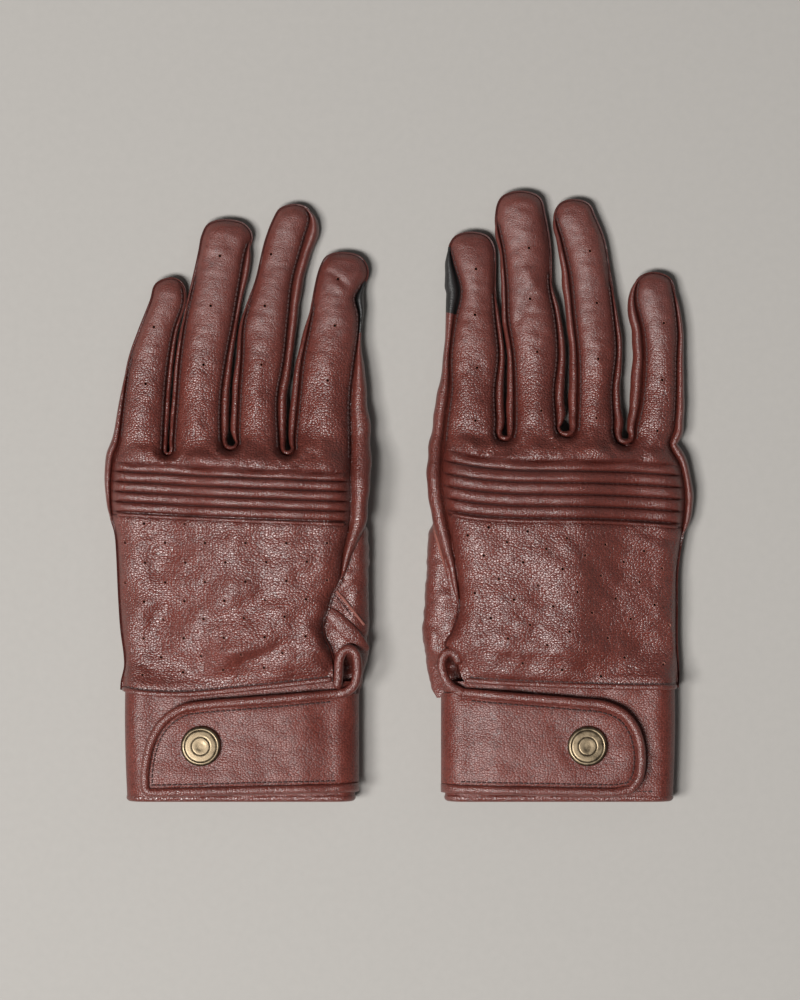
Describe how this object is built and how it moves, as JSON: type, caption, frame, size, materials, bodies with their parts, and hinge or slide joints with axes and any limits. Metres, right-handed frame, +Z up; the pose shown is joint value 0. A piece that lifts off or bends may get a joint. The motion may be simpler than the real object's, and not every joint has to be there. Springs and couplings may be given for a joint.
{
  "type": "driving gloves",
  "caption": "Pair of leather driving gloves lying palm down, with ribbed padded knuckles, perforated backs and a snapped wrist strap.",
  "frame": {"origin": "on the surface that the pair lies on, in the middle of the pair's footprint", "axes": "+Z up from the resting surface, +Y from the wrists to the fingertips, +X from the left glove to the right glove"},
  "size_m": [0.2338, 0.244, 0.0274],
  "materials": {
    "oxblood_leather": "satin grained",
    "black_leather": "smooth coated",
    "lining": "matte knit",
    "foam": "soft foam",
    "old_brass": "antique"
  },
  "bodies": {
    "left_hand": {"left_back_upper": "oxblood_leather", "left_knuckle_pad": "oxblood_leather", "left_knuckle_foam": "foam", "left_back_lower": "oxblood_leather", "left_palm": "oxblood_leather", "left_side_strips": "oxblood_leather", "left_lining": "lining", "left_cuff_band": "oxblood_leather", "left_cuff_piping": "oxblood_leather", "left_snap_stud": "old_brass", "left_snap_post": "old_brass"},
    "left_index": {"left_index_back": "oxblood_leather", "left_index_front": "oxblood_leather", "left_index_gussets": "oxblood_leather", "left_index_touch_tip": "black_leather"},
    "left_middle": {"left_middle_back": "oxblood_leather", "left_middle_front": "oxblood_leather", "left_middle_gussets": "oxblood_leather"},
    "left_ring": {"left_ring_back": "oxblood_leather", "left_ring_front": "oxblood_leather", "left_ring_gussets": "oxblood_leather"},
    "left_pinky": {"left_pinky_back": "oxblood_leather", "left_pinky_front": "oxblood_leather", "left_pinky_gussets": "oxblood_leather"},
    "left_thumb": {"left_thumb_back": "oxblood_leather", "left_thumb_front": "oxblood_leather"},
    "left_strap": {"left_strap": "oxblood_leather", "left_strap_piping": "oxblood_leather", "left_snap_cap": "old_brass", "left_snap_socket": "old_brass"},
    "right_hand": {"right_back_upper": "oxblood_leather", "right_knuckle_pad": "oxblood_leather", "right_knuckle_foam": "foam", "right_back_lower": "oxblood_leather", "right_palm": "oxblood_leather", "right_side_strips": "oxblood_leather", "right_lining": "lining", "right_cuff_band": "oxblood_leather", "right_cuff_piping": "oxblood_leather", "right_snap_stud": "old_brass", "right_snap_post": "old_brass"},
    "right_index": {"right_index_back": "oxblood_leather", "right_index_front": "oxblood_leather", "right_index_gussets": "oxblood_leather", "right_index_touch_tip": "black_leather"},
    "right_middle": {"right_middle_back": "oxblood_leather", "right_middle_front": "oxblood_leather", "right_middle_gussets": "oxblood_leather"},
    "right_ring": {"right_ring_back": "oxblood_leather", "right_ring_front": "oxblood_leather", "right_ring_gussets": "oxblood_leather"},
    "right_pinky": {"right_pinky_back": "oxblood_leather", "right_pinky_front": "oxblood_leather", "right_pinky_gussets": "oxblood_leather"},
    "right_thumb": {"right_thumb_back": "oxblood_leather", "right_thumb_front": "oxblood_leather"},
    "right_strap": {"right_strap": "oxblood_leather", "right_strap_piping": "oxblood_leather", "right_snap_cap": "old_brass", "right_snap_socket": "old_brass"}
  },
  "joints": [
    {"name": "left_index_bend", "type": "hinge", "parent": "left_hand", "child": "left_index", "pos_m": [-0.029, 0.02279, 0.02042], "axis": [0.9965, -0.0835, 0], "range_deg": [0, 55]},
    {"name": "left_middle_bend", "type": "hinge", "parent": "left_hand", "child": "left_middle", "pos_m": [-0.0552, 0.02346, 0.02042], "axis": [0.9881, -0.1538, 0], "range_deg": [0, 55]},
    {"name": "left_ring_bend", "type": "hinge", "parent": "left_hand", "child": "left_ring", "pos_m": [-0.0794, 0.02298, 0.01833], "axis": [0.9942, -0.1074, 0], "range_deg": [0, 55]},
    {"name": "left_pinky_bend", "type": "hinge", "parent": "left_hand", "child": "left_pinky", "pos_m": [-0.1042, 0.02386, 0.0144], "axis": [0.9793, -0.2023, 0], "range_deg": [0, 55]},
    {"name": "left_thumb_swing", "type": "hinge", "parent": "left_hand", "child": "left_thumb", "pos_m": [-0.023, -0.054, 0.00525], "axis": [0, 0, -1], "range_deg": [0, 45]},
    {"name": "left_strap_open", "type": "hinge", "parent": "left_hand", "child": "left_strap", "pos_m": [-0.0185, -0.098, 0.0193], "axis": [0, 1, 0], "range_deg": [0, 90]},
    {"name": "right_index_bend", "type": "hinge", "parent": "right_hand", "child": "right_index", "pos_m": [0.0284, 0.02533, 0.019], "axis": [1, 0.0025, 0], "range_deg": [0, 55]},
    {"name": "right_middle_bend", "type": "hinge", "parent": "right_hand", "child": "right_middle", "pos_m": [0.0554, 0.02607, 0.019], "axis": [0.9973, 0.0728, 0], "range_deg": [0, 55]},
    {"name": "right_ring_bend", "type": "hinge", "parent": "right_hand", "child": "right_ring", "pos_m": [0.0788, 0.02607, 0.01753], "axis": [0.9973, 0.0735, 0], "range_deg": [0, 55]},
    {"name": "right_pinky_bend", "type": "hinge", "parent": "right_hand", "child": "right_pinky", "pos_m": [0.104, 0.02574, 0.0144], "axis": [0.999, 0.0444, 0], "range_deg": [0, 55]},
    {"name": "right_thumb_swing", "type": "hinge", "parent": "right_hand", "child": "right_thumb", "pos_m": [0.023, -0.054, 0.00525], "axis": [0, 0, 1], "range_deg": [0, 45]},
    {"name": "right_strap_open", "type": "hinge", "parent": "right_hand", "child": "right_strap", "pos_m": [0.0185, -0.098, 0.0193], "axis": [0, -1, 0], "range_deg": [0, 90]},
    {"name": "right_glove_lift", "type": "slide", "parent": "left_hand", "child": "right_hand", "axis": [0, 0, 1], "range_m": [0, 0.06]}
  ]
}
